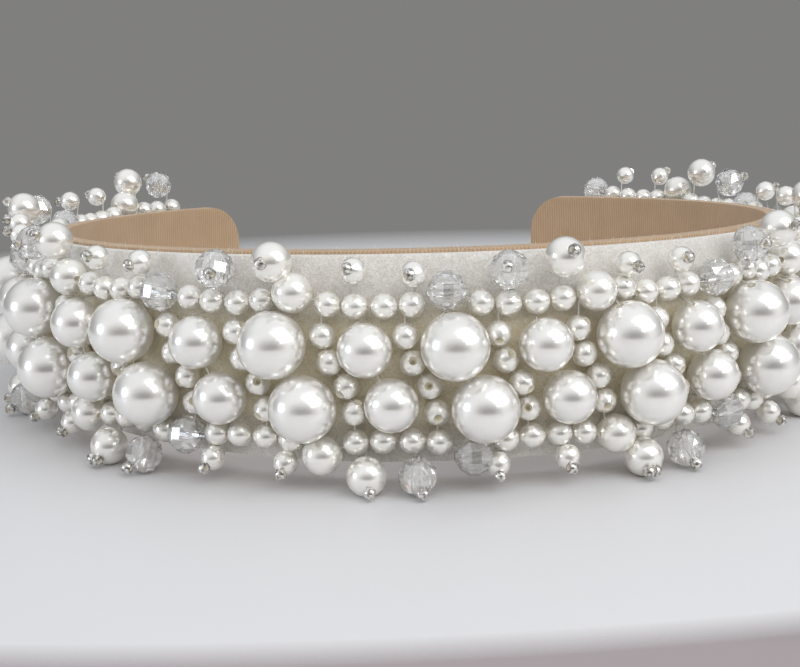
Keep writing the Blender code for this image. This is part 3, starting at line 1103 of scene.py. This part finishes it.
def build_light():
    """A grey room, bright above and in front but for one dark spot, with a window overhead,
    a cooler one to the left, and a fill in front that glossy surfaces don't mirror."""
    room = Finish("studio", "ShaderNodeBackground")
    where = room.node("ShaderNodeTexCoord", output="Generated")
    depth = room.node("ShaderNodeSeparateXYZ", None, {0: where}, 1)
    rise = room.node("ShaderNodeSeparateXYZ", None, {0: where}, 2)
    front = room.mix(ROOM["dark_spot"], ROOM["front"], room.clamped(depth, -0.97, -0.6))
    front = room.mix(ROOM["front_ground"], front, room.clamped(rise, -0.14, -0.02))
    back = room.mix(ROOM["back_ground"], ROOM["back"], room.clamped(rise, -0.41, -0.3))
    wall = room.mix(front, back, room.clamped(depth, -0.35, 0.35))
    bpy.context.scene.world = room.surface({
        "Color": room.mix(wall, ROOM["sky"], room.clamped(rise, 0.2, 0.85)),
        "Strength": 1.0,
    })
    for number in range(WINDOW_SLATS):
        step = number - (WINDOW_SLATS - 1) / 2.0
        centre = [middle + shift * step for middle, shift in zip(SLAT_MIDDLE, SLAT_STEP)]
        add_soft_light(f"window_slat_{number + 1}", centre, 0.55, 0.045, 0.4, (0.94, 0.965, 1.0))
    add_soft_light("left_window", (-0.66, -0.20, 0.13), 0.20, 0.20, 0.6, (0.74, 0.84, 1.0))
    add_soft_light("front_fill", (-0.05, -0.50, 0.34), 0.50, 0.30, 0.6, (1.0, 0.965, 0.92), False)


CAMERA_PLACE = (-0.03254, -0.26182, 0.06800)
CAMERA_TURN = 0.1068
CAMERA_DIP = 0.2145
CAMERA_ROLL = 0.0183
CAMERA_LENS = 64.56
CAMERA_SENSOR = 36.0


def build_camera():
    data = bpy.data.cameras.new("camera")
    data.sensor_fit = "HORIZONTAL"
    data.sensor_width = CAMERA_SENSOR
    data.lens = CAMERA_LENS
    camera = bpy.data.objects.new("camera", data)
    turn = Matrix.Rotation(-CAMERA_TURN, 4, "Z")
    dip = Matrix.Rotation(math.pi / 2.0 - CAMERA_DIP, 4, "X")
    roll = Matrix.Rotation(-CAMERA_ROLL, 4, "Z")
    camera.matrix_world = Matrix.Translation(CAMERA_PLACE) @ turn @ dip @ roll
    bpy.context.scene.collection.objects.link(camera)
    bpy.context.scene.camera = camera


def main():
    bpy.context.scene.view_settings.view_transform = "Standard"
    build_camera()
    build_light()
    build_floor()
    pearl = pearl_finish(
        "ivory_nacre",
        lustre=0.66,
        roughness=0.21,
        glow=0.5,
        deep=colour(0.91, 0.92, 0.95),
        pale=colour(0.965, 0.975, 1.0),
        lacquer=colour(1.0, 0.97, 0.90),
    )
    small = pearl_finish(
        "small_ivory_nacre",
        lustre=0.62,
        roughness=0.17,
        glow=0.5,
        deep=colour(0.945, 0.955, 0.975),
        pale=colour(0.985, 0.99, 1.0),
        lacquer=colour(1.0, 0.97, 0.90),
    )
    drill = drill_finish()
    thread = thread_finish()
    felt = felt_finish()
    build_ribbon_band()
    build_felt_strip(felt)
    build_felt_fibres(felt)
    build_main_pearls(pearl, drill)
    build_pair_threads(thread)
    patterns = {
        "small": pearl_pattern("small"),
        "wide_holed": pearl_pattern("wide_holed"),
        "pearl": pearl_pattern("accent"),
        "crystal": crystal_pattern(),
        "seed": seed_pattern(),
    }
    finishes = {
        "small": [small, drill],
        "pearl": [small, drill],
        "crystal": [crystal_finish()],
        "seed": [seed_finish(), drill],
        "thread": [thread],
    }
    build_net("left", patterns, finishes)
    build_net("right", patterns, finishes)


main()
